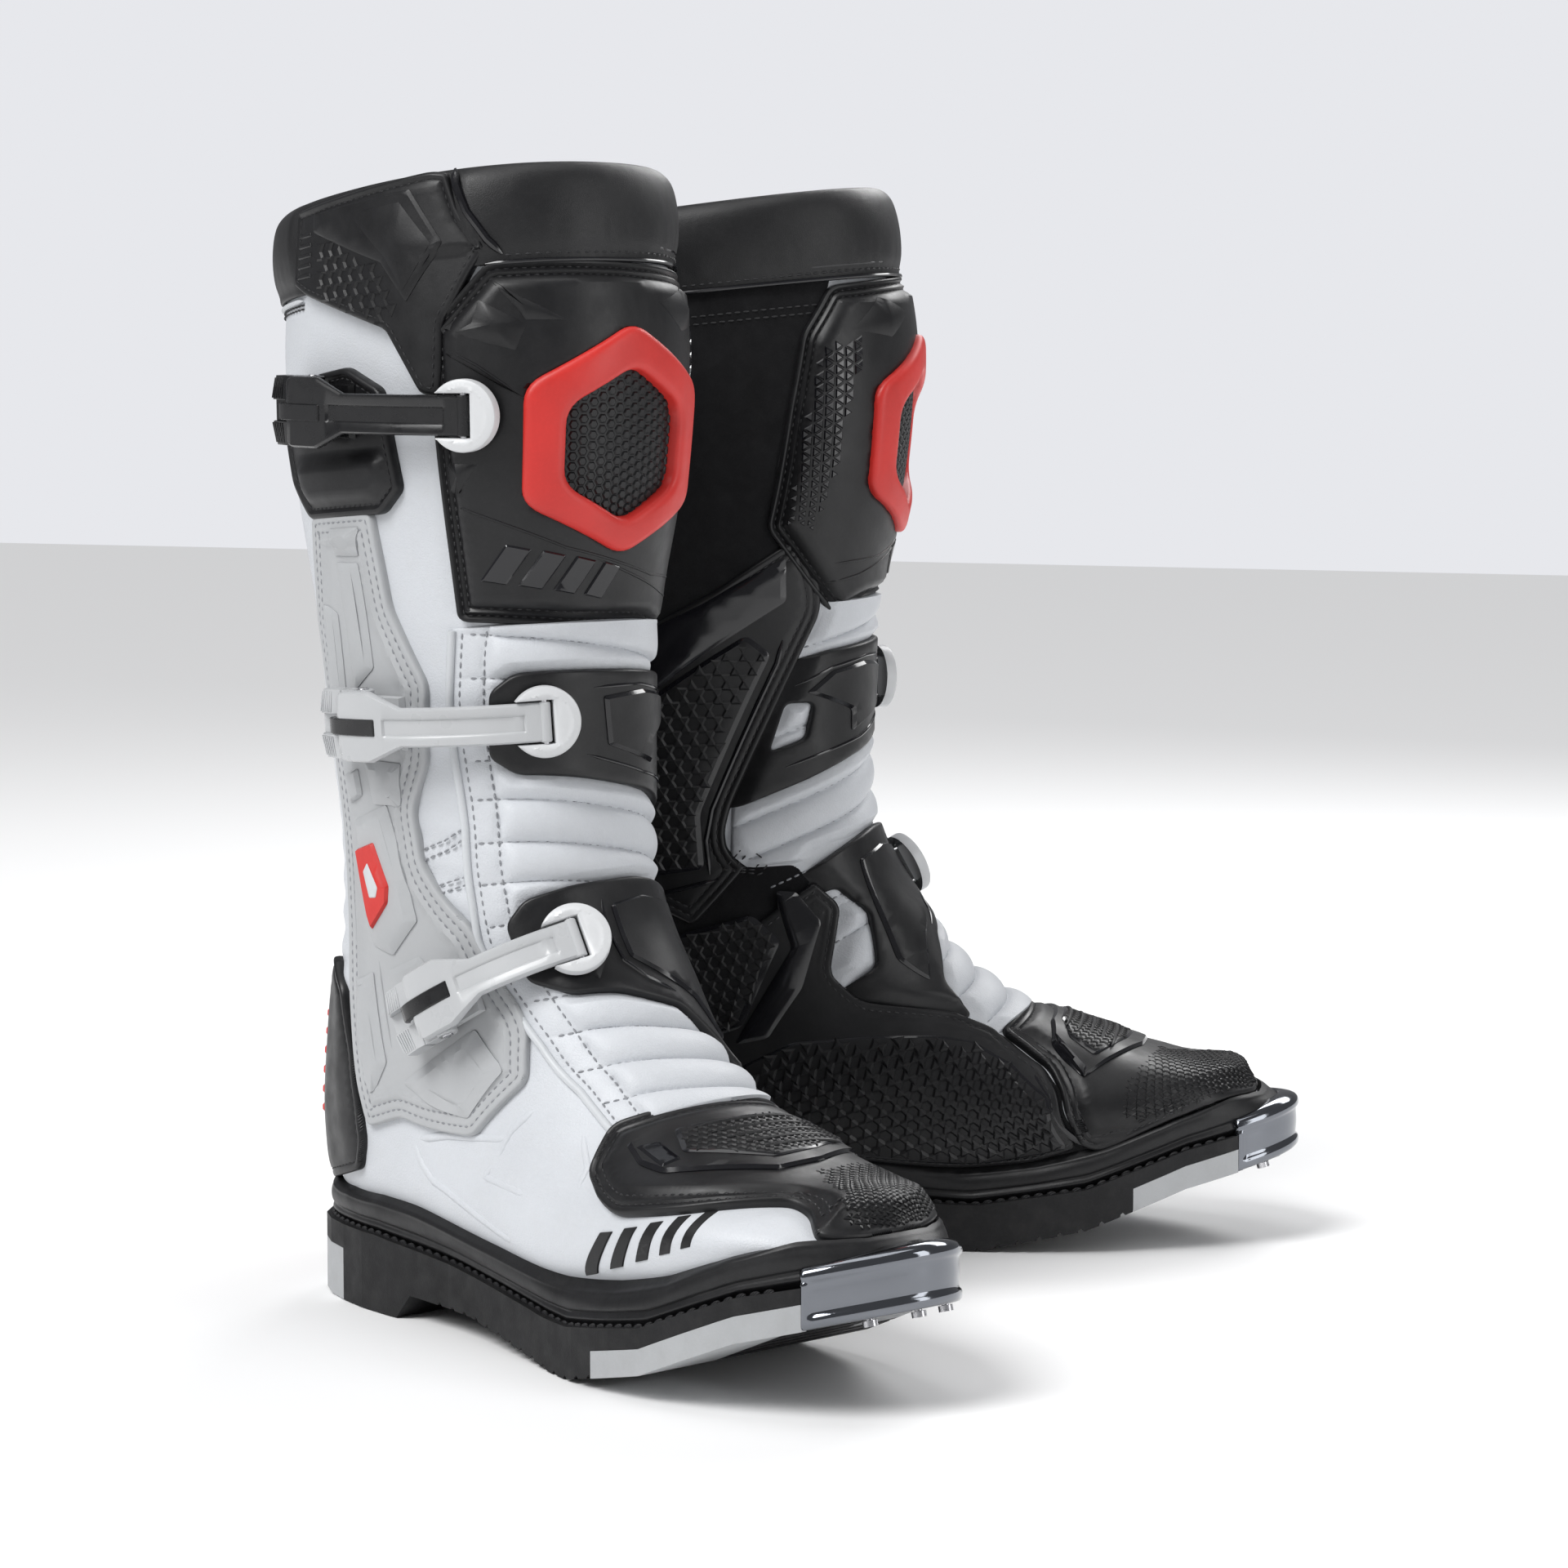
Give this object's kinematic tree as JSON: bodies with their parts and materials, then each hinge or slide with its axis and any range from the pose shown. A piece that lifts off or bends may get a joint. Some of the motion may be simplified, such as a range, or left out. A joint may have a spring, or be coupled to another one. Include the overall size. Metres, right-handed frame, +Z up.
{
  "type": "motocross boots",
  "caption": "Pair of tall armoured riding boots with hinged buckle straps, flexing ankles, stitched soles and steel toe plates.",
  "frame": {"origin": "on the ground under the middle of the pair's bounding box", "axes": "+Z up, toes towards -Y and turned out, right boot on the -X side, left boot on the +X side as its mirror image"},
  "size_m": [0.3938, 0.3067, 0.4107],
  "materials": {
    "black_rubber": "satin moulded",
    "grey_rubber": "satin moulded",
    "polished_steel": "polished",
    "screw_steel": "brushed",
    "spring_steel": "brushed",
    "lining": "woven",
    "white_leather": "fine grain",
    "black_leather": "fine grain",
    "black_armour": "matte moulded",
    "grey_armour": "matte moulded",
    "black_plastic": "satin moulded",
    "grey_plastic": "satin moulded",
    "white_plastic": "satin moulded"
  },
  "bodies": {
    "right_foot": {"right_outsole": "black_rubber", "right_sole_inserts": "grey_rubber", "right_toe_plate": "polished_steel", "right_toe_screws": "screw_steel", "right_midsole": "black_rubber", "right_shank": "spring_steel", "right_insole": "lining", "right_foot_upper": "white_leather", "right_toe_guard": "black_armour", "right_heel_counter": "black_armour", "right_instep_plate": "black_armour", "right_ankle_brace": "grey_armour", "right_foot_buckle_base": "grey_plastic", "right_foot_strap_hub": "white_plastic", "right_ankle_bellows": "white_leather"},
    "right_leg": {"right_shaft": "white_leather", "right_collar": "black_leather", "right_shin_plate": "black_armour", "right_calf_plate": "black_armour", "right_mid_plate": "black_armour", "right_side_brace": "grey_armour", "right_burn_guard": "black_rubber", "right_leg_buckle_bases": "black_plastic", "right_leg_strap_hubs": "white_plastic"},
    "right_lever_top": {"right_lever_top": "black_plastic"},
    "right_strap_top": {"right_strap_top": "black_plastic"},
    "right_lever_mid": {"right_lever_mid": "grey_plastic"},
    "right_strap_mid": {"right_strap_mid": "grey_plastic"},
    "right_lever_low": {"right_lever_low": "grey_plastic"},
    "right_strap_low": {"right_strap_low": "grey_plastic"},
    "left_foot": {"left_outsole": "black_rubber", "left_sole_inserts": "grey_rubber", "left_toe_plate": "polished_steel", "left_toe_screws": "screw_steel", "left_midsole": "black_rubber", "left_shank": "spring_steel", "left_insole": "lining", "left_foot_upper": "white_leather", "left_toe_guard": "black_armour", "left_heel_counter": "black_armour", "left_instep_plate": "black_armour", "left_ankle_brace": "grey_armour", "left_foot_buckle_base": "grey_plastic", "left_foot_strap_hub": "white_plastic", "left_ankle_bellows": "white_leather"},
    "left_leg": {"left_shaft": "white_leather", "left_collar": "black_leather", "left_shin_plate": "black_armour", "left_calf_plate": "black_armour", "left_mid_plate": "black_armour", "left_side_brace": "grey_armour", "left_burn_guard": "black_rubber", "left_leg_buckle_bases": "black_plastic", "left_leg_strap_hubs": "white_plastic"},
    "left_lever_top": {"left_lever_top": "black_plastic"},
    "left_strap_top": {"left_strap_top": "black_plastic"},
    "left_lever_mid": {"left_lever_mid": "grey_plastic"},
    "left_strap_mid": {"left_strap_mid": "grey_plastic"},
    "left_lever_low": {"left_lever_low": "grey_plastic"},
    "left_strap_low": {"left_strap_low": "grey_plastic"}
  },
  "joints": [
    {"name": "right_ankle_flex", "type": "hinge", "parent": "right_foot", "child": "right_leg", "pos_m": [-0.08391, 0.06658, 0.118], "axis": [0.9361, -0.3518, 0], "range_deg": [-8, 12], "stiffness_Nm_per_rad": 25, "deforming": ["right_ankle_bellows"]},
    {"name": "right_lever_top_swing", "type": "hinge", "parent": "right_leg", "child": "right_lever_top", "pos_m": [-0.14175, 0.10158, 0.32486], "axis": [-0.0412, -0.0125, 0.9991], "range_deg": [0, 95]},
    {"name": "right_strap_top_swing", "type": "hinge", "parent": "right_leg", "child": "right_strap_top", "pos_m": [-0.15463, 0.03243, 0.32346], "axis": [-0.0412, -0.0125, 0.9991], "range_deg": [0, 48]},
    {"name": "right_lever_mid_swing", "type": "hinge", "parent": "right_leg", "child": "right_lever_mid", "pos_m": [-0.13905, 0.08333, 0.21548], "axis": [-0.0616, 0.032, 0.9976], "range_deg": [0, 95]},
    {"name": "right_strap_mid_swing", "type": "hinge", "parent": "right_leg", "child": "right_strap_mid", "pos_m": [-0.13068, 0.01507, 0.21818], "axis": [-0.0616, 0.032, 0.9976], "range_deg": [0, 48]},
    {"name": "right_lever_low_swing", "type": "hinge", "parent": "right_foot", "child": "right_lever_low", "pos_m": [-0.14174, 0.053, 0.11911], "axis": [0.1564, 0.459, 0.8745], "range_deg": [0, 95]},
    {"name": "right_strap_low_swing", "type": "hinge", "parent": "right_foot", "child": "right_strap_low", "pos_m": [-0.1316, 0.00282, 0.14364], "axis": [0.1564, 0.459, 0.8745], "range_deg": [0, 48]},
    {"name": "left_ankle_flex", "type": "hinge", "parent": "left_foot", "child": "left_leg", "pos_m": [0.08391, 0.06658, 0.118], "axis": [0.9361, 0.3518, 0], "range_deg": [-8, 12], "stiffness_Nm_per_rad": 25, "deforming": ["left_ankle_bellows"]},
    {"name": "left_lever_top_swing", "type": "hinge", "parent": "left_leg", "child": "left_lever_top", "pos_m": [0.14175, 0.10158, 0.32486], "axis": [-0.0412, 0.0125, -0.9991], "range_deg": [0, 95]},
    {"name": "left_strap_top_swing", "type": "hinge", "parent": "left_leg", "child": "left_strap_top", "pos_m": [0.15463, 0.03243, 0.32346], "axis": [-0.0412, 0.0125, -0.9991], "range_deg": [0, 48]},
    {"name": "left_lever_mid_swing", "type": "hinge", "parent": "left_leg", "child": "left_lever_mid", "pos_m": [0.13905, 0.08333, 0.21548], "axis": [-0.0616, -0.032, -0.9976], "range_deg": [0, 95]},
    {"name": "left_strap_mid_swing", "type": "hinge", "parent": "left_leg", "child": "left_strap_mid", "pos_m": [0.13068, 0.01507, 0.21818], "axis": [-0.0616, -0.032, -0.9976], "range_deg": [0, 48]},
    {"name": "left_lever_low_swing", "type": "hinge", "parent": "left_foot", "child": "left_lever_low", "pos_m": [0.14174, 0.053, 0.11911], "axis": [0.1564, -0.459, -0.8745], "range_deg": [0, 95]},
    {"name": "left_strap_low_swing", "type": "hinge", "parent": "left_foot", "child": "left_strap_low", "pos_m": [0.1316, 0.00282, 0.14364], "axis": [0.1564, -0.459, -0.8745], "range_deg": [0, 48]},
    {"name": "pair_slide", "type": "slide", "parent": "right_foot", "child": "left_foot", "axis": [1, 0, 0], "range_m": [0, 0.3]}
  ],
  "couplings": [
    {"joint": "right_strap_top_swing", "follows": "right_lever_top_swing", "ratio": 0.5},
    {"joint": "right_strap_mid_swing", "follows": "right_lever_mid_swing", "ratio": 0.5},
    {"joint": "right_strap_low_swing", "follows": "right_lever_low_swing", "ratio": 0.5},
    {"joint": "left_strap_top_swing", "follows": "left_lever_top_swing", "ratio": 0.5},
    {"joint": "left_strap_mid_swing", "follows": "left_lever_mid_swing", "ratio": 0.5},
    {"joint": "left_strap_low_swing", "follows": "left_lever_low_swing", "ratio": 0.5}
  ]
}
